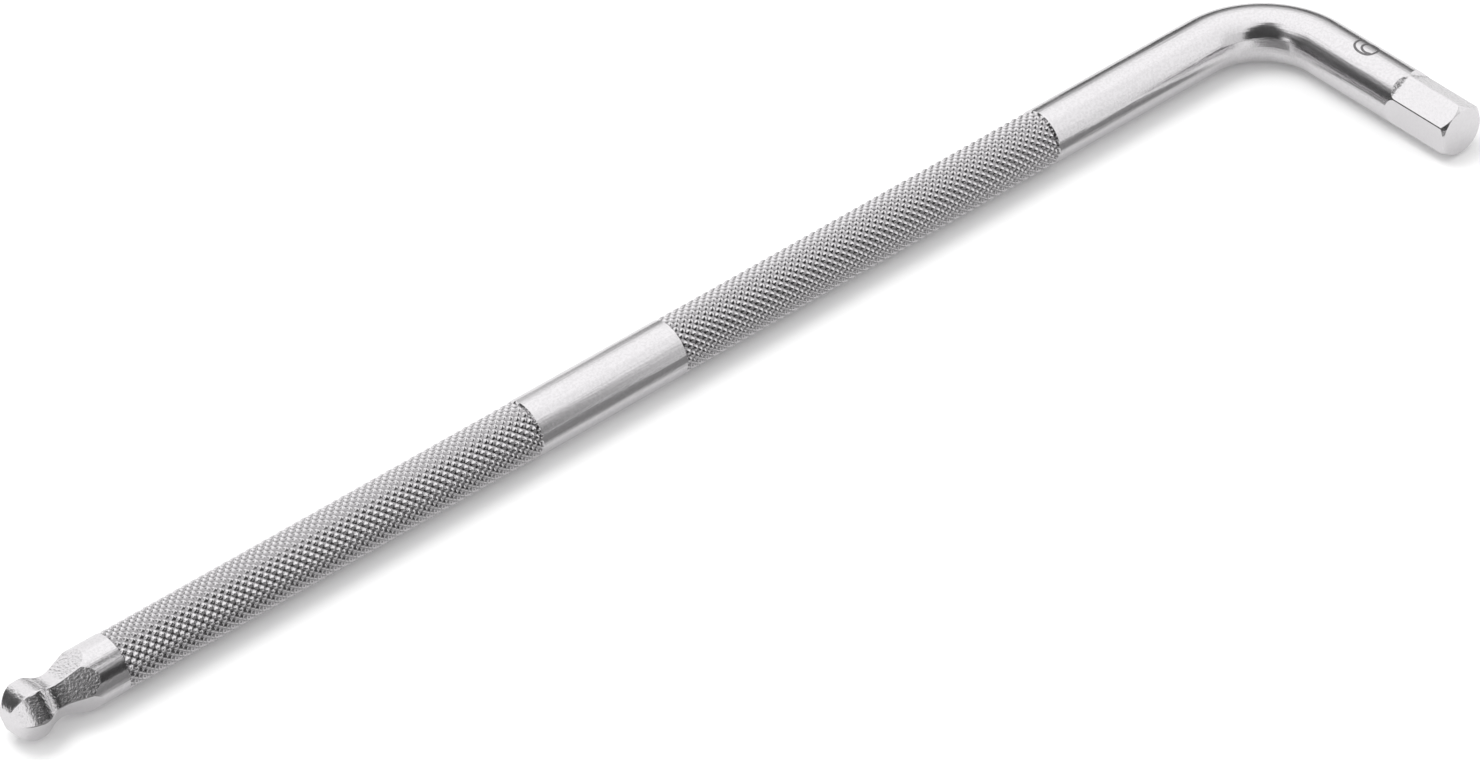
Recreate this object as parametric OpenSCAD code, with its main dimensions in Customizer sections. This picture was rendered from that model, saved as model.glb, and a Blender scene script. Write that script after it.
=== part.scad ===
// Bent hex key: one steel rod with a ball-shaped hexagon on the long arm, two knurled
// grip bands, a right-angle bend and a plain hexagon on the short arm.
// Millimetres. It lies on Z = 0 as it rests, with the long arm along X and the short
// arm towards -Y. The origin is under the middle of the whole key.

/* [Rod] */
// Diameter of the plain rod
rod_d = 6.85; // [6.6:0.05:7.2]
// From the ball's end face to the outer side of the short arm
long_len = 183.5; // [175:0.5:215]
// From the plain end face to the outer side of the long arm
short_len = 35.7; // [28:0.1:50]
// Radius of the bend, at the middle of the rod
bend_r = 10; // [6:0.5:14]

/* [Plain hexagon] */
// Distance across the flats
hex_af = 6; // [5.2:0.1:6.4]
// Length of the full flats
hex_len = 8; // [5:0.1:11]
// Diameter of the flat end face inside the chamfer
tip_d = 6; // [5:0.1:6.4]
// Radius that the cutter leaves where a flat runs out
run_out_r = 1.5; // [1:0.1:3]
// Turn of the flats about the arm, from level
hex_turn = 30; // [0:5:60]

/* [Ball hexagon] */
// Distance across the flats at the widest section
ball_af = 5.9; // [5.6:0.1:6.2]
// Diameter over the rounded corners
ball_ac = 6.6; // [6.2:0.05:6.8]
// From the end face to the widest section
ball_reach = 2.7; // [2:0.1:2.7]
// Distance across the flats at the neck
neck_af = 4.3; // [3.6:0.1:4.8]
// Radius of the hollow in each flat at the neck
neck_r = 3; // [2:0.1:4]
// Slope of each flat behind the neck, in degrees
flank_slope = 18; // [14:1:25]
// Turn of the flats about the arm, from level
ball_turn = 53; // [0:1:60]

/* [Knurled bands] */
// Depth of the grooves between the diamond points, which are as high as the rod
knurl_depth = 0.28; // [0.15:0.01:0.35]
// From the ball's end face to the first band
knurl_start = 13.3; // [11:0.1:18]
// Length of each band
knurl_len = 55.5; // [30:0.5:56]
// Plain stretch between the bands
knurl_gap = 20.3; // [10:0.1:26]
// Diamonds round the rod
knurl_around = 16; // [12:4:16]
// Spacing of the diamonds along the rod
knurl_pitch = 1.39; // [1.35:0.01:2]

/* [Hidden] */
$fn = 96;

rod_r = rod_d / 2;
// Room by which cutting shapes stand clear of what they cut
clear = 1;
// Straight stretches, from each end face to the bend
long_straight = long_len - rod_r - bend_r;
short_straight = short_len - rod_r - bend_r;
// The ball's end face and the long arm's middle line
ball_x = -long_len / 2;
long_y = (short_len - rod_d) / 2;
// The middle of the bend
bend_x = ball_x + long_straight;
bend_y = long_y - bend_r;
// The second band's start
second_start = knurl_start + knurl_len + knurl_gap;

// How far neighbouring curves of an outline run into each other, so that they cross
bite = 0.005;
// Each pair of flats starts this much further along than the last, so that no more than
// three faces meet in one corner
stagger = 0.01;
// The ball's circle meets the neck's circle, which places the neck
ball_r = ball_af / 2;
neck_y = neck_af / 2 + neck_r;
neck_x = ball_reach + sqrt(pow(ball_r + neck_r - bite, 2) - pow(neck_y, 2));
// Where the hollow turns into the sloping flat, and where that has left the rod
flank_x = neck_x + (neck_r - bite) * sin(flank_slope);
flank_y = neck_y - (neck_r - bite) * cos(flank_slope);
rise_y = rod_r + clear;
rise_x = flank_x + (rise_y - flank_y) / tan(flank_slope);

// A round bar along X from x0 to x1
module bar(x0, x1, r) {
    translate([x0, 0, 0]) rotate([0, 90, 0]) cylinder(r = r, h = x1 - x0);
}

// Turned bar along X: its outline gives [radius, distance from the end face] pairs
module turned(outline) {
    rotate([0, 90, 0]) rotate_extrude() polygon(outline);
}

// A bar along X, the first child, with three pairs of flats milled on it, each shaped
// along the arm by the same outline, the second child
module milled(turn) {
    intersection() {
        children(0);
        pair_of_flats(turn) children(1);
        translate([stagger, 0, 0]) pair_of_flats(turn + 60) children(1);
        translate([2 * stagger, 0, 0]) pair_of_flats(turn + 120) children(1);
    }
}

module pair_of_flats(turn) {
    rotate([90 + turn, 0, 0]) linear_extrude(height = 4 * rod_d, center = true) children();
}

// Outline of a pair of flats on the plain hexagon: straight, then out along the cutter
module plain_outline() {
    difference() {
        translate([-clear, -rise_y]) square([short_straight + 2 * clear, 2 * rise_y]);
        for (s = [-1, 1]) {
            translate([hex_len, s * (hex_af / 2 + run_out_r)]) circle(r = run_out_r);
            translate([-2 * clear, s > 0 ? hex_af / 2 : -hex_af / 2 - rod_d])
                square([hex_len + 2 * clear, rod_d]);
        }
    }
}

// Outline of a pair of flats on the ball: round over the ball, hollow at the neck,
// then a straight slope that leaves the rod
module ball_outline() {
    translate([ball_reach, 0]) circle(r = ball_r);
    difference() {
        polygon([[ball_reach, 0], [neck_x, -neck_y], [flank_x, -flank_y],
                 [rise_x, -rise_y], [knurl_start + clear, -rise_y],
                 [knurl_start + clear, rise_y], [rise_x, rise_y],
                 [flank_x, flank_y], [neck_x, neck_y]]);
        for (s = [-1, 1]) translate([neck_x, s * neck_y]) circle(r = neck_r);
    }
}

// The long arm's end, from the ball's end face to the first band. The flats are milled
// first, then the ball's corners are turned down.
module ball_end() {
    intersection() {
        milled(ball_turn) {
            bar(0, knurl_start, rod_r);
            ball_outline();
        }
        turned([[0, -clear], [ball_ac / 2, -clear], [ball_ac / 2, neck_x],
                [rise_y, neck_x], [rise_y, knurl_start + clear], [0, knurl_start + clear]]);
    }
}

// The short arm, from its chamfered end face to the bend. The chamfer is turned at 45
// degrees.
module plain_end() {
    chamfer = rise_y - tip_d / 2;
    milled(hex_turn) {
        intersection() {
            bar(0, short_straight, rod_r);
            turned([[0, -clear], [tip_d / 2 - clear, -clear], [rise_y, chamfer],
                    [rise_y, short_straight + clear], [0, short_straight + clear]]);
        }
        plain_outline();
    }
}

// A band of diamond points between two sets of crossing grooves. Points lie on a grid
// of half spacings, a groove crossing and a diamond point in turn, and the first and
// last rings are all grooves.
module knurled_band(x0) {
    steps = 2 * knurl_around;
    rings = 2 * round(knurl_len / knurl_pitch);
    groove_r = rod_r - knurl_depth;
    function at(i, j) = j * steps + (i + steps) % steps;
    function is_point(i, j) = (i + j) % 2 == 1;
    function inside(j) = j > 0 && j < rings;
    points = [for (j = [0:rings], i = [0:steps - 1])
        let (r = is_point(i, j) && inside(j) ? rod_r : groove_r, a = i * 360 / steps - 90)
        [x0 + j * knurl_len / rings, r * cos(a), r * sin(a)]];
    ahead = [for (j = [0:rings - 1], i = [0:steps - 1]) if (is_point(i, j))
        each [[at(i, j), at(i, j + 1), at(i + 1, j)], [at(i, j), at(i - 1, j), at(i, j + 1)]]];
    behind = [for (j = [1:rings], i = [0:steps - 1]) if (is_point(i, j))
        each [[at(i, j), at(i + 1, j), at(i, j - 1)], [at(i, j), at(i, j - 1), at(i - 1, j)]]];
    first_cap = [for (i = [0:steps - 1]) at(i, 0)];
    last_cap = [for (i = [steps - 1:-1:0]) at(i, rings)];
    polyhedron(points = points, faces = concat(ahead, behind, [first_cap, last_cap]));
}

module long_arm() {
    ball_end();
    knurled_band(knurl_start);
    bar(knurl_start + knurl_len, second_start, rod_r);
    knurled_band(second_start);
    bar(second_start + knurl_len, long_straight, rod_r);
}

module hex_key() {
    color("silver") {
        translate([ball_x, long_y, rod_r]) long_arm();
        translate([bend_x, bend_y, rod_r])
            rotate_extrude(angle = 90) translate([bend_r, 0]) circle(r = rod_r);
        translate([bend_x + bend_r, bend_y - short_straight, rod_r])
            rotate([0, 0, 90]) plain_end();
    }
}

hex_key();
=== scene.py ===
# %% [markdown]
# # A bent hex key in Blender
#
# The real thing is one steel rod. One end is milled to a plain hexagon, the other to a ball-shaped
# hexagon that works at a slant, two bands are rolled with a diamond knurl for grip, and the rod is
# bent to a right angle last. This lesson dresses the CAD model of the key: it builds a finer skin
# at the same sizes, gives each worked surface the finish that its tool leaves, and lights it as on
# a white table. Lengths are in millimetres until a mesh is made.

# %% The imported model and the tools
import math

import bpy
import numpy as np
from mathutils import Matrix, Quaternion, Vector


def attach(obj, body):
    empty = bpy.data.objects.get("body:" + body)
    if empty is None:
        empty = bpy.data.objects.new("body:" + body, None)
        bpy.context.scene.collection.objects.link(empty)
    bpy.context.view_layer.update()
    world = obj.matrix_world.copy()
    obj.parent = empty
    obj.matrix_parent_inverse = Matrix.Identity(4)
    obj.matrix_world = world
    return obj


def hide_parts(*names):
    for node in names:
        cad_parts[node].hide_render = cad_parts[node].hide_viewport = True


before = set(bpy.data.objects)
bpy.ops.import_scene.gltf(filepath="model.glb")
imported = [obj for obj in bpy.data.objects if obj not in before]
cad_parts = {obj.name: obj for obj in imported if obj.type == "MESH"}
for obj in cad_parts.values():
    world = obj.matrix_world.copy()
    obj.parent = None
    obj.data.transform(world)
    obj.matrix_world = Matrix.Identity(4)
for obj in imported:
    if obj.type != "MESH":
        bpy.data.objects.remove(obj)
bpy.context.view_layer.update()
MM = 0.001

# %% [markdown]
# ## Sizes
#
# The sizes are those of the CAD source, except that the round end face of the plain hexagon is
# eight hundredths of a millimetre smaller in radius, so that the chamfer's edge shows all the way
# round. The long arm runs along +X from the ball to the bend, and the short arm runs towards -Y.
# The key lies on Z = 0. A place along the key is given by its distance s from the ball's end face,
# measured along the middle of the rod, round the bend and down the short arm. A flat is given by
# its distance from the rod's middle, which is half the width across the flats.

# %% Sizes of the key
ROD_R = 6.85 / 2
LONG, SHORT, BEND_R = 183.5, 35.7, 10.0
# Plain hexagon: the flats, their length, the end face, the cutter's round at the run-out, the turn
HEX_FLAT, HEX_LEN, TIP_R, RUN_OUT_R, HEX_TURN = 3.0, 8.0, 2.92, 1.5, 30.0
# Ball: radius at the flats and at the corners, end face to widest section, the turn
BALL_R, BALL_CORNER_R, BALL_REACH, BALL_TURN = 2.95, 3.3, 2.7, 53.0
# Neck behind the ball: the flats, the radius of their hollow, their slope out to the rod
NECK_FLAT, NECK_R, FLANK_SLOPE = 2.15, 3.0, math.radians(18)
# Grip bands: where the first starts, how long each is, the plain stretch between them
KNURL_START, KNURL_LEN, KNURL_GAP = 13.3, 55.5, 20.3

LONG_STRAIGHT = LONG - ROD_R - BEND_R
SHORT_STRAIGHT = SHORT - ROD_R - BEND_R
BEND_END = LONG_STRAIGHT + BEND_R * math.pi / 2
KEY_END = BEND_END + SHORT_STRAIGHT
SECOND_START = KNURL_START + KNURL_LEN + KNURL_GAP
BALL_X = -LONG / 2
LONG_Y = (SHORT - 2 * ROD_R) / 2
print("length along the rod's middle:", round(KEY_END, 1), "mm")

# %% [markdown]
# ## The middle line of the rod
#
# A bent rod is a straight line, a quarter circle and another straight line. For each place s we
# need the point on that line and a sideways direction, which is the inner side of the bend. Up is
# always +Z, because the key lies flat.


# %% Points along the rod
UP = np.array([0, 0, 1.0])


def along_rod(s):
    """The middle point and the sideways direction at each distance s, as two arrays."""
    s = np.asarray(s, float)
    turn = np.clip((s - LONG_STRAIGHT) / BEND_R, 0, math.pi / 2)
    past = np.maximum(s - BEND_END, 0)
    x = BALL_X + np.minimum(s, LONG_STRAIGHT) + BEND_R * np.sin(turn)
    y = LONG_Y - BEND_R * (1 - np.cos(turn)) - past
    middle = np.stack([x, y, np.full_like(x, ROD_R)], axis=1)
    side = np.stack([-np.sin(turn), -np.cos(turn), np.zeros_like(x)], axis=1)
    return middle, side


def around_rod(middle, side, angle, radius):
    """Points at a distance from the middle, at an angle in radians from up, towards the side."""
    sideways, upwards = radius * np.sin(angle), radius * np.cos(angle)
    return middle + sideways[..., None] * side + upwards[..., None] * UP


print("the rod's end:", along_rod([KEY_END])[0].round(2)[0])

# %% [markdown]
# ## From rings to a skin
#
# A turned and milled rod could be cut with booleans, but those leave long thin faces that shade
# badly and give no say over the tiny facets of a knurl. Here the surface is a stack of rings
# instead. Each ring has the same number of points, and each point has an angle round the rod and a
# radius. Every four neighbours make two triangles, split along the diagonal whose ends are more
# alike in height, so that the edges of flats and the bottoms of grooves run along mesh edges and
# stay crisp. A fan of triangles closes each end.


# %% The triangles between rings
def ring_faces(radius):
    """Triangles for a stack of rings, from the radius of each point. The middle points of the two
    ends are numbered after all others."""
    count, points = radius.shape
    index = np.arange(count * points).reshape(count, points)
    here, ahead = index[:-1], index[1:]
    here_next, ahead_next = np.roll(here, -1, axis=1), np.roll(ahead, -1, axis=1)
    radius_next = np.roll(radius, -1, axis=1)
    rise_one_way = np.abs(radius[:-1] - radius_next[1:])
    rise_other_way = np.abs(radius_next[:-1] - radius[1:])
    one_way = (rise_one_way <= rise_other_way)[..., None]
    first = np.where(one_way, np.stack([here, here_next, ahead_next], -1),
                     np.stack([here, here_next, ahead], -1))
    second = np.where(one_way, np.stack([here, ahead_next, ahead], -1),
                      np.stack([here_next, ahead_next, ahead], -1))
    start_middle, end_middle = np.full(points, count * points), np.full(points, count * points + 1)
    start = np.stack([start_middle, np.roll(index[0], -1), index[0]], -1)
    end = np.stack([end_middle, index[-1], np.roll(index[-1], -1)], -1)
    return np.concatenate([first.reshape(-1, 3), second.reshape(-1, 3), start, end])


print("two rings of six points make", len(ring_faces(np.ones((2, 6)))), "triangles")

# %% [markdown]
# ### Meshes
#
# A mesh is made from its points and faces, and is linked to the scene as an object. It can carry
# values of our own for each point, which its material reads. Each point of a skin remembers where
# it was on the rod while that was still straight, because the grain of the steel was drawn then
# and followed the bend.


# %% Building a skin
def add_piece(name, points, faces):
    """A new object from points in millimetres and faces with the same number of corners."""
    mesh = bpy.data.meshes.new(name)
    mesh.from_pydata((np.asarray(points) * MM).tolist(), [], np.asarray(faces).tolist())
    mesh.update()
    piece = bpy.data.objects.new(name, mesh)
    bpy.context.scene.collection.objects.link(piece)
    return piece


def store(piece, name, values):
    """Keeps one number or one vector for each point of the mesh."""
    kind, field = ("FLOAT_VECTOR", "vector") if values.ndim == 2 else ("FLOAT", "value")
    layer = piece.data.attributes.new(name, kind, "POINT")
    layer.data.foreach_set(field, values.ravel().astype(np.float32))


def skin(name, s, angle, radius, sharp):
    """A closed mesh from rings: s has one value a ring, angle (degrees from up, towards the inner
    side) and radius one value a point. Edges that turn by more than sharp degrees stay crisp."""
    middle, side = along_rod(s)
    a = np.radians(angle)
    place = around_rod(middle[:, None], side[:, None], a, radius).reshape(-1, 3)
    piece = add_piece(name, np.concatenate([place, middle[[0, -1]]]), ring_faces(radius))
    faces = piece.data.polygons
    faces.foreach_set("use_smooth", np.ones(len(faces), bool))
    piece.data.set_sharp_from_angle(angle=math.radians(sharp))
    along = np.broadcast_to(s[:, None], radius.shape)
    straight = np.stack([along, radius * np.sin(a), radius * np.cos(a)], -1).reshape(-1, 3)
    store(piece, "straight_rod", np.concatenate([straight, [(s[0], 0, 0), (s[-1], 0, 0)]]) * MM)
    print(name, len(place) + 2, "points,", len(faces), "triangles")
    return piece


print("lengths are multiplied by", MM, "when a mesh is made, because Blender works in metres")

# %% [markdown]
# ## The milled sections
#
# Six flats at a distance from the middle cut a round bar. Between the flats the bar's own surface
# is left as a land, which is wide where the flats run out and nearly a line where they meet. The
# points that lie nearest a flat's edge are moved onto it, ring by ring, so that the curved end of
# each flat comes out smooth. Where two flats would meet in a knife edge, a deburred corner of four
# hundredths of a millimetre is left.

# %% One ring of a hexagon on a bar
POINTS = 240
STEP = 360 / POINTS
ROUND = np.arange(POINTS) * STEP
SECTOR = 60                 # degrees round the rod that belong to one flat
DEBURR = 0.04
ROUNDING = 1e-6             # degrees by which a point on an edge may miss it
# The distances of a flat at which its edges cross the rod's lines of points, from wide to none
LAND_EDGES = ROD_R * np.cos(np.radians(np.arange(SECTOR / 2 / STEP - 1, -1, -1) * STEP))


def milled_ring(flat, bar, turn):
    """Angles and radii of one ring, and which of its points are on a flat: six flats at that
    distance from the middle, cut on a bar of that radius."""
    from_flat = (ROUND + SECTOR / 2) % SECTOR - SECTOR / 2
    angle = ROUND
    knife_edge = flat / math.cos(math.radians(SECTOR / 2))
    bar = min(bar, max(knife_edge - DEBURR, flat))
    if flat >= bar:
        return angle + turn, np.full(POINTS, bar), np.zeros(POINTS, bool)
    edge = math.degrees(math.acos(flat / bar))
    nearest = round(edge / STEP) * STEP
    if nearest > 0:
        on_edge = np.isclose(np.abs(from_flat), nearest)
        moved = np.sign(from_flat) * edge
        angle = np.where(on_edge, angle - from_flat + moved, angle)
        from_flat = np.where(on_edge, moved, from_flat)
    on_flat = np.abs(from_flat) <= edge + ROUNDING
    radius = np.where(on_flat, flat / np.cos(np.radians(from_flat)), bar)
    return angle + turn, radius, on_flat


print("a flat's edge crosses", len(LAND_EDGES), "lines of points as it runs out")

# %% [markdown]
# ## The ball end
#
# A form cutter mills six flats that are round over the ball, hollow at the neck, and rise on a
# slope until they leave the rod. Then the ball's corners are turned down. So one outline gives the
# flats' distance at each place: a circle for the ball, a second circle that touches it for the
# hollow, and a straight line.

# %% The ball end's outline
NECK_Y = NECK_FLAT + NECK_R
NECK_X = BALL_REACH + math.sqrt((BALL_R + NECK_R) ** 2 - NECK_Y**2)
MEET_X = BALL_REACH + (NECK_X - BALL_REACH) * BALL_R / (BALL_R + NECK_R)
FLANK_X = NECK_X + NECK_R * math.sin(FLANK_SLOPE)
FLANK_Y = NECK_Y - NECK_R * math.cos(FLANK_SLOPE)


def ball_flat(x):
    """Distance of the flats from the middle, at the distance x from the end face."""
    if x < MEET_X:
        return math.sqrt(BALL_R**2 - (x - BALL_REACH) ** 2)
    if x < FLANK_X:
        return NECK_Y - math.sqrt(NECK_R**2 - (x - NECK_X) ** 2)
    return FLANK_Y + (x - FLANK_X) * math.tan(FLANK_SLOPE)


print("the neck is", round(NECK_X, 2), "mm behind the ball's end face")

# %% [markdown]
# ### The ball end's rings
#
# The rings stand closer together where the outline bends. Where the flats leave the rod, each ring
# stands where a flat's edge crosses a line of points, so that the flat's curved end is drawn by
# the corners of triangles and has no steps.

# %% The ball end's rings
FACE_SHARES = (0.33, 0.66, 0.9, 0.97)           # rings on the end face, as shares of its radius
SLOPE_TO, EDGES_FROM = 8.6, 8.65                # where the even rings end and the fitted ones start
# First place, last place and number of rings: the face's rim, the ball with the neck, the slope
STRETCHES = ((0.04, 0.4, 5), (0.55, FLANK_X, 42), (FLANK_X, SLOPE_TO, 10))

rings = []  # (s, angles, radii, on a flat) for the whole rod, from the ball to the plain tip
for share in FACE_SHARES:
    angle, radius, _ = milled_ring(ball_flat(0), BALL_CORNER_R, BALL_TURN)
    rings.append((0.0, angle, radius * share, np.ones(POINTS, bool)))
for x in np.unique(np.concatenate([np.linspace(*stretch) for stretch in STRETCHES])):
    bar = BALL_CORNER_R if x < NECK_X else ROD_R
    rings.append((x, *milled_ring(ball_flat(x), bar, BALL_TURN)))
for flat in LAND_EDGES:
    x = FLANK_X + (flat - FLANK_Y) / math.tan(FLANK_SLOPE)
    if x > EDGES_FROM:
        rings.append((x, *milled_ring(flat, ROD_R, BALL_TURN)))
flank_end = rings[-1][0]
print("ball end:", len(rings), "rings, flats leave the rod at", round(flank_end, 2), "mm")

# %% [markdown]
# ## The plain rod
#
# Under each grip band the rod goes on as a thinner core, so that its surface doesn't fight with
# the knurl. The rings of the ball end are turned with its flats, and those of the rest with the
# plain hexagon's, so the skin twists from one to the other inside that core, where nobody sees it.
# Where a flat or a band ends, a second ring follows close behind. It keeps the soft shading of the
# plain rod from running into the edge.

# %% The collar and the stretches beside the bands
CORE_R = 2.8
GUARD, BAND_GUARD = 0.03, 0.05      # how close a second ring follows the end of a flat or a band
COLLAR_PLACES = (flank_end + GUARD, flank_end + 0.3, 11.5)


def plain_ring(s, r=ROD_R, turn=HEX_TURN):
    """A round ring. One at the key's end belongs to the milled end face."""
    rings.append((s, ROUND + turn, np.full(POINTS, r), np.full(POINTS, s == KEY_END)))


for s in COLLAR_PLACES:
    plain_ring(s, turn=BALL_TURN)
for start, turn in ((KNURL_START, BALL_TURN), (SECOND_START, HEX_TURN)):
    end = start + KNURL_LEN
    plain_ring(start - BAND_GUARD, turn=turn)
    plain_ring(start, turn=turn)
    plain_ring(start, CORE_R, turn)
    plain_ring(end, CORE_R)
    plain_ring(end)
    plain_ring(end + BAND_GUARD)
    plain_ring(end + KNURL_GAP / 2)
print(len(rings), "rings up to the bend")

# %% [markdown]
# ## The bend
#
# The rod is pressed round a former, which leaves a shallow dent on the inner side, a sixth of a
# millimetre deep. The dent is narrow where it starts and ends and wide in its middle. Its depth
# fades out along a cosine, so that the reflections bend there without a hard line.

# %% The bend and the dent in it
BEND_RINGS = 97
DENT_START, DENT_END, DENT_RAMP, DENT_DEPTH = 172.2, 184.2, 1.6, 0.16
DENT_TURN, DENT_NARROW, DENT_WIDE = 88.0, 24, 52        # degrees round the rod

for s in np.linspace(LONG_STRAIGHT, BEND_END, BEND_RINGS):
    share = np.clip((s - DENT_START) / (DENT_END - DENT_START), 0, 1)
    depth = DENT_DEPTH * np.clip(min(s - DENT_START, DENT_END - s) / DENT_RAMP, 0, 1)
    half_width = DENT_NARROW + (DENT_WIDE - DENT_NARROW) * math.sin(math.pi * share)
    away = np.abs((ROUND + HEX_TURN - DENT_TURN + 180) % 360 - 180) / half_width
    hollow = depth * np.cos(np.minimum(away, 1) * math.pi / 2) ** 2
    rings.append((s, ROUND + HEX_TURN, ROD_R - hollow, np.zeros(POINTS, bool)))
print("the dent is", DENT_DEPTH, "mm deep and", DENT_END - DENT_START, "mm long")

# %% [markdown]
# ## The plain hexagon
#
# The short arm ends in a hexagon. Its flats run out along the round of a cutter, and a chamfer
# turned at 45 degrees leads down to a round end face. The rings again stand where the edges of the
# flats cross the lines of points, both in the run-out and in the chamfer.

# %% The plain hexagon's rings
CHAMFER = ROD_R - TIP_R
FLAT_PLACES = (HEX_LEN, 6, 4, 2, CHAMFER + 0.05, CHAMFER)       # back from the end face
TIP_SHARES = (0.99, 0.97, 0.8, 0.5, 0.25)                       # of the end face's radius

edges = LAND_EDGES[LAND_EDGES > HEX_FLAT]
run_out = KEY_END - HEX_LEN - np.sqrt(RUN_OUT_R**2 - (RUN_OUT_R - (edges - HEX_FLAT)) ** 2)
plain_ring((BEND_END + run_out.max()) / 2)
plain_ring(run_out.min() - GUARD)
for s, flat in zip(run_out[::-1], edges[::-1]):
    rings.append((s, *milled_ring(flat, ROD_R, HEX_TURN)))
for back in FLAT_PLACES:
    rings.append((KEY_END - back, *milled_ring(HEX_FLAT, ROD_R, HEX_TURN)))
for bar in HEX_FLAT / edges * ROD_R:
    rings.append((KEY_END - (bar - TIP_R), *milled_ring(HEX_FLAT, bar, HEX_TURN)))
for share in TIP_SHARES:
    plain_ring(KEY_END, TIP_R * share)
print(len(rings), "rings in all")

# %% [markdown]
# ### One skin for the rod
#
# All rings become one closed skin. A triangle whose corners are all on flats or end faces counts
# as milled, and takes the second of the rod's two materials.

# %% The rod's skin
ROD_SHARP = 10

places, angles, radii, on_flat = (np.array(column) for column in zip(*rings))
rod = skin("key_rod", places, angles, radii, ROD_SHARP)
milled_points = np.append(on_flat.ravel(), [True, True])
milled_faces = milled_points[ring_faces(radii)].all(axis=1)
rod.data.polygons.foreach_set("material_index", milled_faces.astype(int))
print(int(milled_faces.sum()), "triangles are on milled faces")

# %% [markdown]
# ## The grip bands
#
# Two hardened rollers press crossing grooves at 45 degrees, and the steel that they leave stands
# up as rows of diamonds. Twenty stand round the rod and a row comes every half millimetre. A bump
# map would leave the outline smooth, so the diamonds are real: each is a small pyramid with
# softened edges, drawn with eight points across.

# %% Knurled bands
DIAMONDS_ROUND, PITCH, DEPTH = 20, 1.047, 0.28
PITCHES = round(KNURL_LEN / PITCH)
FINE = 8                                # points across a diamond
EDGE_POWER = 2.5                        # 2 would make round cones, a high power sharp pyramids
FULL_POWER = 1.15                       # 1 would make straight slopes, and more makes them fuller
FADE = 0.14                             # length in which the grooves reach their depth
END_SHARES = (0.6, 0.97)                # rings on a band's hidden end faces
KNURL_SHARP = 48


def knurled_band(name, start):
    """A band that starts at that distance from the ball's end face."""
    i = np.arange(PITCHES * FINE + 1)
    j = np.arange(DIAMONDS_ROUND * FINE)
    along, across = np.meshgrid(i / FINE, j / FINE, indexing="ij")
    # Each is 1 in the middle of a groove and 0 midway between two grooves
    rising = np.abs(((along + across) % 1) * 2 - 1)
    falling = np.abs(((along - across) % 1) * 2 - 1)
    cut = (rising**EDGE_POWER + falling**EDGE_POWER) ** (1 / EDGE_POWER)
    s = i * KNURL_LEN / (PITCHES * FINE)
    fade = np.clip(np.minimum(s, KNURL_LEN - s) / FADE, 0, 1)[:, None]
    groove = np.minimum(cut, 1) ** FULL_POWER * fade
    radius = ROD_R - DEPTH * groove
    ends = [radius[:1] * share for share in END_SHARES]
    radius = np.concatenate([*ends, radius, *reversed(ends)])
    s = np.concatenate([[0, 0], s, [KNURL_LEN, KNURL_LEN]]) + start
    angle = np.broadcast_to(j * 360 / len(j), radius.shape)
    band = skin(name, s, angle, radius, KNURL_SHARP)
    rows_added = ((len(ends), len(ends)), (0, 0))
    store(band, "groove", np.append(np.pad(groove, rows_added), [0, 0]))
    return band


front_band = knurled_band("front_grip", KNURL_START)
back_band = knurled_band("back_grip", SECOND_START)
print(DIAMONDS_ROUND, "diamonds round the rod and", 2 * PITCHES, "rows in a band")

# %% [markdown]
# ## The size mark
#
# The size across the flats is burnt into the short arm with a laser, as one thin stroke that forms
# the figure 6. It could be painted by the material, but a stroke with a real edge stays sharp from
# near by. So it is a thin band laid on the rod: a smooth curve through a few points, given a
# width, and wrapped round the arm. It stands four thousandths of a millimetre proud.

# %% The stroke of the mark
MARK_HEIGHT, STROKE, MARK_S, MARK_TURN = 2.7, 0.3, 192.25, math.radians(-5)
# The figure on a field one unit wide and high, from the upper tip round to the closed bowl
SIX = [(0.42, 0.44), (0.3, 0.52), (0.1, 0.56), (-0.1, 0.54), (-0.27, 0.44), (-0.38, 0.25),
       (-0.42, 0.04), (-0.41, -0.2), (-0.34, -0.4), (-0.2, -0.52), (0.0, -0.56), (0.2, -0.52),
       (0.35, -0.4), (0.43, -0.22), (0.38, -0.02), (0.22, 0.13), (0.0, 0.18), (-0.18, 0.09),
       (-0.27, -0.1), (-0.27, -0.3), (-0.2, -0.46)]


def smooth_path(points, parts=6):
    """A Catmull-Rom curve through the points, with that many parts between two points."""
    p = np.array([points[0], *points, points[-1]], float)
    path = []
    for a, b, c, d in zip(p, p[1:], p[2:], p[3:]):
        for t in np.arange(parts) / parts:
            path.append(0.5 * (2 * b + (c - a) * t + (2 * a - 5 * b + 4 * c - d) * t**2
                               + (3 * b - a - 3 * c + d) * t**3))
    return np.array(path + [p[-1]])


stroke = smooth_path(SIX) * MARK_HEIGHT
print("the stroke has", len(stroke), "points")

# %% The mark on the rod
OUTER, INNER = ROD_R + 0.004, ROD_R - 0.1

run = np.gradient(stroke, axis=0)
left = np.stack([-run[:, 1], run[:, 0]], 1) / np.linalg.norm(run, axis=1)[:, None] * STROKE / 2
edge_lines = []
for radius, side in ((OUTER, 1), (OUTER, -1), (INNER, -1), (INNER, 1)):
    u, v = (stroke + side * left).T
    edge_lines.append(around_rod(*along_rod(MARK_S - v), MARK_TURN - u / ROD_R, radius))
line = np.arange(4 * len(stroke)).reshape(4, -1)
next_line = np.roll(line, -1, axis=0)
long_faces = np.stack([line[:, :-1], line[:, 1:], next_line[:, 1:], next_line[:, :-1]], -1)
mark_faces = np.concatenate([long_faces.reshape(-1, 4), [line[::-1, 0], line[:, -1]]])
size_mark = add_piece("size_mark", np.concatenate(edge_lines), mark_faces)
print("size mark:", len(mark_faces), "faces, stroke", STROKE, "mm wide")

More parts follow.
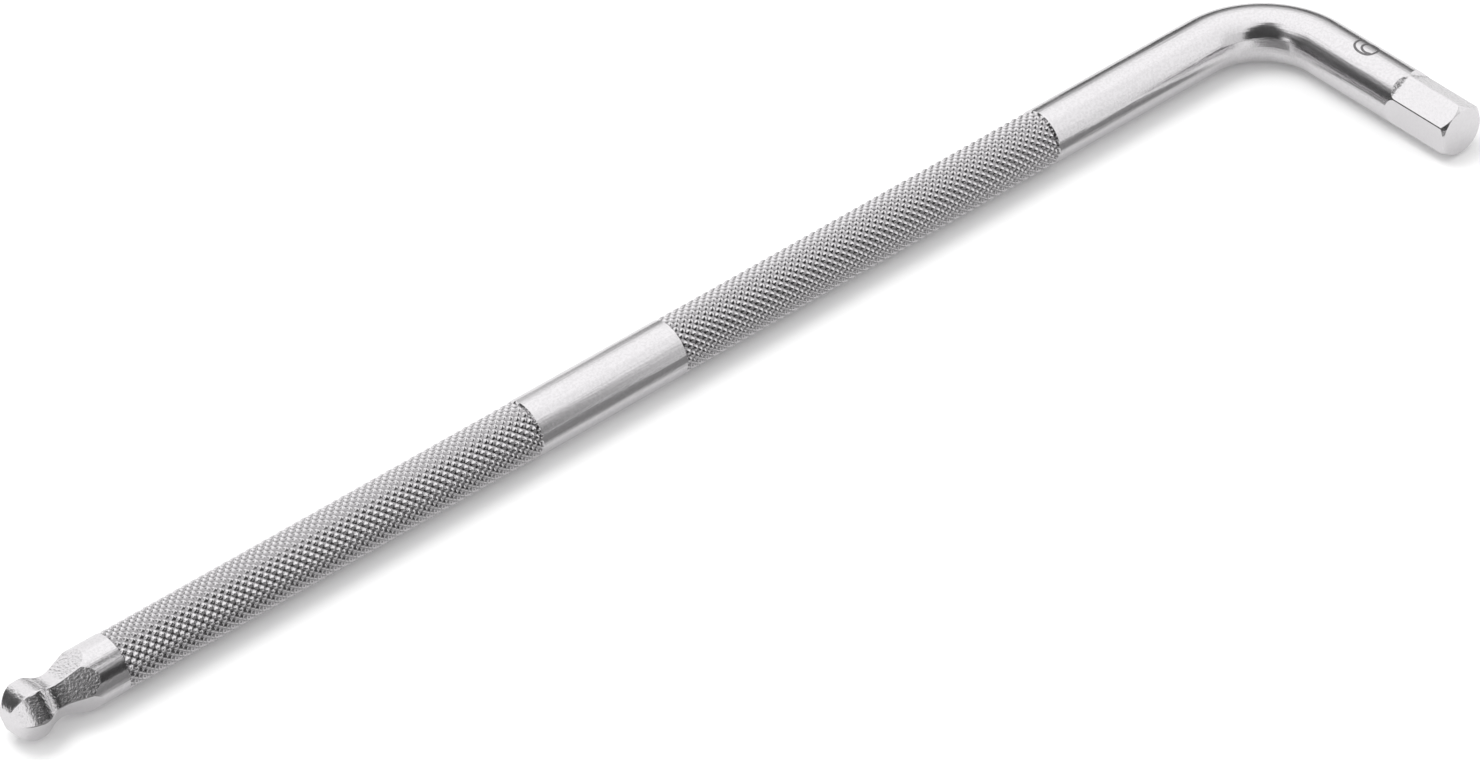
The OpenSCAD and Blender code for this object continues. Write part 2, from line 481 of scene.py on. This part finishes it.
# %% [markdown]
# ## Materials
#
# A material is a small tree of nodes. First come the helpers: one turns an sRGB hex colour into
# Blender's linear numbers, one adds a node with its settings and links, and one starts an empty
# material. A socket is named, or numbered where a node has several of one name: a Mix node's
# colours are its sockets 6 and 7, and its mixed colour is its output 2.


# %% Helpers for materials
def linear(hex_colour):
    """An sRGB colour such as #808080 as linear red, green, blue and a full alpha."""
    parts = [int(hex_colour[i : i + 2], 16) / 255 for i in (1, 3, 5)]
    return (*[c / 12.92 if c <= 0.04045 else ((c + 0.055) / 1.055) ** 2.4 for c in parts], 1.0)


def add(tree, kind, settings=(), links=()):
    """Adds a node. settings go to its properties or sockets, and links join other nodes' outputs
    to its sockets."""
    node = tree.nodes.new(kind)
    for key, value in dict(settings).items():
        if isinstance(key, str) and hasattr(node, key):
            setattr(node, key, value)
        else:
            node.inputs[key].default_value = value
    for key, output in dict(links).items():
        tree.links.new(output, node.inputs[key])
    return node


def material(name):
    """An empty material and its tree of nodes."""
    made = bpy.data.materials.new(name)
    made.use_nodes = True
    made.node_tree.nodes.clear()
    return made, made.node_tree


print("middle grey as a linear colour:", [round(c, 3) for c in linear("#808080")])

# %% [markdown]
# ### Satin chrome plate
#
# The rod is drawn through a die and then plated with a thin coat of satin chrome. Drawing leaves
# fine lines along the rod, and the plate leaves a faint cloudiness and tiny pits, so the eye sees
# clear reflections with soft, slightly uneven edges. The real lines are about a twentieth of a
# millimetre wide, too fine to show in this picture, so they are drawn at nearly half a millimetre,
# and the pits at a third.

# %% Satin chrome
PLATE = linear("#E9E7E9")
CLOUD_SIZE, STREAK_WIDTH, STREAK_STRETCH = 3.8, 0.45, 0.06
PIT_FROM, PIT_TO = 0.4, 0.58            # the grain's heights between which pits turn to plate


def plated(name, roughness, streak_depth, grain_size, grain_depth, pits):
    """Chrome plate over steel. Roughness runs from its lowest to its highest value in soft clouds.
    Streaks run along the rod, and a grain covers it; sizes and depths are in millimetres. pits is
    the colour in the grain's hollows."""
    made, tree = material(name)
    where = add(tree, "ShaderNodeAttribute", {"attribute_name": "straight_rod"}).outputs["Vector"]
    cloud = add(tree, "ShaderNodeTexNoise", {"Scale": 1 / (CLOUD_SIZE * MM), "Detail": 3.0},
                {"Vector": where})
    rough = add(tree, "ShaderNodeMapRange", {"To Min": roughness[0], "To Max": roughness[1]},
                {"Value": cloud.outputs["Fac"]})
    drawn = add(tree, "ShaderNodeVectorMath", {"operation": "MULTIPLY", 1: (STREAK_STRETCH, 1, 1)},
                {0: where})
    streak = add(tree, "ShaderNodeTexNoise", {"Scale": 1 / (STREAK_WIDTH * MM), "Detail": 3.0},
                 {"Vector": drawn.outputs[0]})
    streaked = add(tree, "ShaderNodeBump", {"Strength": 1.0, "Distance": streak_depth * MM},
                   {"Height": streak.outputs["Fac"]})
    grain = add(tree, "ShaderNodeTexNoise", {"Scale": 1 / (grain_size * MM), "Detail": 2.0},
                {"Vector": where})
    grainy = add(tree, "ShaderNodeBump", {"Strength": 1.0, "Distance": grain_depth * MM},
                 {"Height": grain.outputs["Fac"], "Normal": streaked.outputs["Normal"]})
    height = add(tree, "ShaderNodeMapRange", {"From Min": PIT_FROM, "From Max": PIT_TO},
                 {"Value": grain.outputs["Fac"]})
    colour = add(tree, "ShaderNodeMix", {"data_type": "RGBA", 6: linear(pits), 7: PLATE},
                 {0: height.outputs["Result"]})
    shader = add(tree, "ShaderNodeBsdfPrincipled", {"Metallic": 1.0},
                 {"Base Color": colour.outputs[2], "Roughness": rough.outputs["Result"],
                  "Normal": grainy.outputs["Normal"]})
    add(tree, "ShaderNodeOutputMaterial", (), {"Surface": shader.outputs["BSDF"]})
    return made


satin_plate = plated("satin_chrome_plate", (0.14, 0.24), 0.03, 0.33, 0.008, "#E2E0E2")
rod.data.materials.append(satin_plate)
print("the rod's finish:", satin_plate.name)

# %% [markdown]
# ### Milled flats
#
# The flats and the end faces keep the small marks of the milling cutter under the plate. They look
# grainier than the drawn rod, and each takes its own shade, because it mirrors its own part of the
# room. The same tree serves, with more grain: the real marks are about a tenth of a millimetre
# apart, and are drawn three times as coarse to show.

# %% Milled faces
milled_plate = plated("chrome_plate_on_milled_steel", (0.16, 0.26), 0.006, 0.3, 0.045, "#E5E3E5")
rod.data.materials.append(milled_plate)
print("the flats' finish:", milled_plate.name)

# %% [markdown]
# ### Rolled knurl
#
# The same plate covers the knurl, and its colour is painted darker towards the bottoms of the
# grooves as painted shade. Each point of the bands has stored how deep in a groove it lies, and
# the painted shade follows that from half the depth on, so the dark places stay where the shape
# puts them.

# %% Plated knurl, with painted shade in the grooves
knurl_plate, tree = material("plated_rolled_knurl")
depth = add(tree, "ShaderNodeAttribute", {"attribute_name": "groove"})
painted_groove_shade = add(tree, "ShaderNodeMapRange", {"From Min": 0.5}, {"Value": depth.outputs["Fac"]})
# The second colour is painted shade, reached at the bottoms of the grooves
colour = add(tree, "ShaderNodeMix", {"data_type": "RGBA", 6: PLATE, 7: linear("#A8A6A8")},
             {0: painted_groove_shade.outputs["Result"]})
shader = add(tree, "ShaderNodeBsdfPrincipled", {"Metallic": 1.0, "Roughness": 0.13},
             {"Base Color": colour.outputs[2]})
add(tree, "ShaderNodeOutputMaterial", (), {"Surface": shader.outputs["BSDF"]})
for band in (front_band, back_band):
    band.data.materials.append(knurl_plate)
print("the bands' finish:", knurl_plate.name)

# %% [markdown]
# ### Laser mark
#
# The laser burns the plate to a thin grey oxide, which is duller than chrome and uneven, because
# the beam works in overlapping spots of about a sixth of a millimetre.

# %% Burnt oxide
BURN_SPOT = 0.167
DARK_OXIDE, LIGHT_OXIDE = linear("#605E60"), linear("#9E9C9E")

oxide, tree = material("laser_burnt_oxide")
where = add(tree, "ShaderNodeTexCoord")
burn = add(tree, "ShaderNodeTexNoise", {"Scale": 1 / (BURN_SPOT * MM), "Detail": 2.0},
           {"Vector": where.outputs["Object"]})
colour = add(tree, "ShaderNodeMix", {"data_type": "RGBA", 6: DARK_OXIDE, 7: LIGHT_OXIDE},
             {0: burn.outputs["Fac"]})
shader = add(tree, "ShaderNodeBsdfPrincipled", {"Metallic": 1.0, "Roughness": 0.45},
             {"Base Color": colour.outputs[2]})
add(tree, "ShaderNodeOutputMaterial", (), {"Surface": shader.outputs["BSDF"]})
size_mark.data.materials.append(oxide)
print("the mark's finish:", oxide.name)

# %% [markdown]
# ## Joining the pieces to the imported model
#
# The real key is one piece of steel, and here it is four meshes, because the knurl needs far more
# points than the rod. All four ride on the key's one body and stand for its one CAD solid, which
# the physics keeps for collisions.

# %% Pieces on the frame
for piece in (rod, front_band, back_band, size_mark):
    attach(piece, "root")
    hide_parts("hex_key")
    print(piece.name, "rides on the key")

# %% [markdown]
# ## The table
#
# The key lies on matt white paper, which comes out plain white under this light, so that only the
# tight shadow beside the key is left. A faint glow for the camera stands for the light that real
# paper scatters into a shadow. Mirrored rays find a greyer sheet with more of that glow. The
# underside of the rod shows the paper in the key's own shadow, and this keeps its bright line soft
# and its contrast low.

# %% The white table
TABLE = 6000
PAPER, MIRRORED_PAPER = linear("#F4F4F4"), linear("#CBCBCB")
GLOW, MIRRORED_GLOW = 0.06, 0.16

corners = [(x * TABLE / 2, y * TABLE / 2, 0) for x, y in ((-1, -1), (1, -1), (1, 1), (-1, 1))]
table = add_piece("table", corners, [(0, 1, 2, 3)])
paper, tree = material("white_paper")
path = add(tree, "ShaderNodeLightPath")
shade = add(tree, "ShaderNodeMix", {"data_type": "RGBA", 6: PAPER, 7: MIRRORED_PAPER},
            {0: path.outputs["Is Glossy Ray"]})
lit = add(tree, "ShaderNodeBsdfDiffuse", (), {"Color": shade.outputs[2]})
mirrored = add(tree, "ShaderNodeMath", {"operation": "MULTIPLY", 1: MIRRORED_GLOW},
               {0: path.outputs["Is Glossy Ray"]})
lift = add(tree, "ShaderNodeMath", {"operation": "MULTIPLY_ADD", 1: GLOW},
           {0: path.outputs["Is Camera Ray"], 2: mirrored.outputs[0]})
glow = add(tree, "ShaderNodeEmission", {"Color": (1, 1, 1, 1)}, {"Strength": lift.outputs[0]})
both = add(tree, "ShaderNodeAddShader", (), {0: lit.outputs[0], 1: glow.outputs[0]})
add(tree, "ShaderNodeOutputMaterial", (), {"Surface": both.outputs[0]})
table.data.materials.append(paper)
print("the table is", round(TABLE * MM), "metres square")

# %% [markdown]
# ## The room's light
#
# A shiny thing is best shown in a white tent, where it finds something bright in every direction.
# The world plays the tent. One softbox hangs overhead and a little behind, so that the shadow
# falls towards the camera. The lamp is hidden from mirrored rays: it would be added to the white
# tent and burn out in the metal.

# %% The room's light
world = bpy.data.worlds.new("studio")
bpy.context.scene.world = world
world.use_nodes = True
world.node_tree.nodes.clear()
tree = world.node_tree
sky = add(tree, "ShaderNodeBackground", {"Color": (1, 1, 1, 1), "Strength": 1.0})
add(tree, "ShaderNodeOutputWorld", (), {"Surface": sky.outputs["Background"]})

lamp = bpy.data.lights.new("overhead_softbox", "AREA")
lamp.shape, lamp.size, lamp.size_y, lamp.energy = "RECTANGLE", 0.43, 0.43, 2.0
softbox = bpy.data.objects.new("overhead_softbox", lamp)
softbox.location = (-0.1, 0.25, 0.63)
softbox.rotation_euler = (-softbox.location).to_track_quat("-Z", "Y").to_euler()
softbox.visible_glossy = False
bpy.context.scene.collection.objects.link(softbox)
print("softbox", round(softbox.location.length, 2), "metres from the key")

# %% [markdown]
# ### Cards
#
# Polished metal looks like metal because it mirrors dark things as well as light ones. A
# photographer stands black and white cards just outside the picture for that. These cards are seen
# by reflections alone, so they throw no shadow and never stand in the way of another view. Their
# edges fade, as those of a card out of focus do. Where each one stands was found by following the
# reflections back from the dark and light places on the key.


# %% A card for the metal to mirror
def card(name, corners, level, cover, fades):
    """A card from its corners in millimetres: lower left, lower right, upper right and upper left
    as the key sees it. level is how bright it looks, cover how much it hides, and fades the shares
    of its width and height that its left, right, lower and upper edges take to fade."""
    finish, tree = material(name)
    where = add(tree, "ShaderNodeTexCoord")
    split = add(tree, "ShaderNodeSeparateXYZ", (), {"Vector": where.outputs["UV"]})
    left, right, lower, upper = fades
    ramps = []
    sides = (("X", 0, left), ("X", 1, 1 - right), ("Y", 0, lower), ("Y", 1, 1 - upper))
    for axis, edge, inner in sides:
        ramps.append(add(tree, "ShaderNodeMapRange",
                         {"interpolation_type": "SMOOTHSTEP", "From Min": edge, "From Max": inner},
                         {"Value": split.outputs[axis]}))
    hidden = add(tree, "ShaderNodeMath", {"operation": "MULTIPLY", 1: cover},
                 {0: ramps[0].outputs["Result"]})
    for ramp in ramps[1:]:
        hidden = add(tree, "ShaderNodeMath", {"operation": "MULTIPLY"},
                     {0: hidden.outputs[0], 1: ramp.outputs["Result"]})
    through = add(tree, "ShaderNodeBsdfTransparent")
    face = add(tree, "ShaderNodeEmission", {"Color": (level, level, level, 1)})
    mix = add(tree, "ShaderNodeMixShader", (),
              {0: hidden.outputs[0], 1: through.outputs[0], 2: face.outputs[0]})
    add(tree, "ShaderNodeOutputMaterial", (), {"Surface": mix.outputs[0]})

    made = add_piece(name, corners, [(0, 1, 2, 3)])
    layer = made.data.uv_layers.new(name="UVMap")
    for loop, uv in enumerate([(0, 0), (1, 0), (1, 1), (0, 1)]):
        layer.data[loop].uv = uv
    made.data.materials.append(finish)
    made.visible_camera = made.visible_diffuse = made.visible_shadow = False
    made.visible_transmission = made.visible_volume_scatter = False
    print(name, "hides", cover, "of what is behind it")


print("a card's brightness of 1 is white, and of 0.02 is black velvet")

# %% [markdown]
# ### Where the cards stand
#
# The card on the table and the one in front darken the lower side of the long arm, and the one in
# front also the ball and the flats behind it. The small one by the tip is for the dark triangle at
# the chamfer and for the fine line under the neck. The cards behind and by the bend give the short
# arm and the bend their dark bands, and the one at the back draws the thin dark line along the
# rod's upper edge. The two grey ones calm the white of the plain stretch and of the bend, and the
# white one above lifts the top of the rod a little.

# %% The cards
card("black_card_on_table", [(60, -40, 0.1), (-110, -40, 0.1), (-110, 10, 0.1), (84, 10, 0.1)],
     0.02, 0.76, (0.03, 0.05, 0.6, 0.07))
card("black_card_by_tip", [(90, -60, 0.1), (50, -60, 0.1), (50, -28, 0.1), (90, -28, 0.1)],
     0.02, 0.95, (0.2, 0.2, 0.2, 0.1))
card("black_card_in_front", [(45, -34, -5), (-122, -34, -5), (-122, -34, 70), (45, -34, 70)],
     0.02, 0.96, (0.5, 0.15, 0.05, 0.65))
card("grey_card_in_front",
     [(500, -500, -200), (-500, -500, -200), (-500, -500, 900), (500, -500, 900)],
     0.3, 0.4, (0.2, 0.2, 0.1, 0.7))
card("black_card_behind", [(-260, 40, -60), (-100, 262, -60), (-100, 262, 380), (-260, 40, 380)],
     0.02, 0.94, (0.1, 0.25, 0.05, 0.6))
card("black_card_by_bend", [(60, -172, -60), (-45, -3, -60), (-45, -3, 600), (60, -172, 100)],
     0.02, 0.95, (0.1, 0.12, 0.05, 0.5))
card("grey_card_at_left",
     [(-320, -125, 60), (-320, 150, 60), (-320, 60, 420), (-320, -125, 640)],
     0.16, 0.9, (0.15, 0.15, 0.1, 0.4))
card("black_card_at_back", [(60, 310, -40), (436, 95, -40), (436, 95, 215), (60, 310, 215)],
     0.02, 0.95, (0.3, 0.15, 0.1, 0.75))
card("white_card_above", [(-600, -300, 620), (900, -300, 620), (900, 900, 620), (-600, 900, 620)],
     1.14, 0.9, (0.3, 0.3, 0.3, 0.3))

# %% [markdown]
# ### Camera
#
# The camera looks down at 39 degrees from in front of the ball, from about 70 centimetres, with a
# long lens. It was fitted to the directions of both arms and to the shrinking of the diamonds with
# distance.

# %% Camera
CAMERA_PLACE = (-334.23, -419.19, 444.58)
LINE_OF_SIGHT = (0.47893, 0.60828, -0.63299)
ROLL = math.radians(-3.279)

camera_data = bpy.data.cameras.new("camera")
camera_data.sensor_width, camera_data.lens = 36.0, 154.93
camera_data.clip_start, camera_data.clip_end = 0.01, 20
camera = bpy.data.objects.new("camera", camera_data)
camera.location = Vector(CAMERA_PLACE) * MM
camera.rotation_mode = "QUATERNION"
level_view = Vector(LINE_OF_SIGHT).to_track_quat("-Z", "Y")
camera.rotation_quaternion = level_view @ Quaternion((0, 0, 1), ROLL)
bpy.context.scene.collection.objects.link(camera)
bpy.context.scene.camera = camera
bpy.context.scene.view_settings.view_transform = "Standard"
print("camera", round(camera.location.length, 2), "metres from the key")
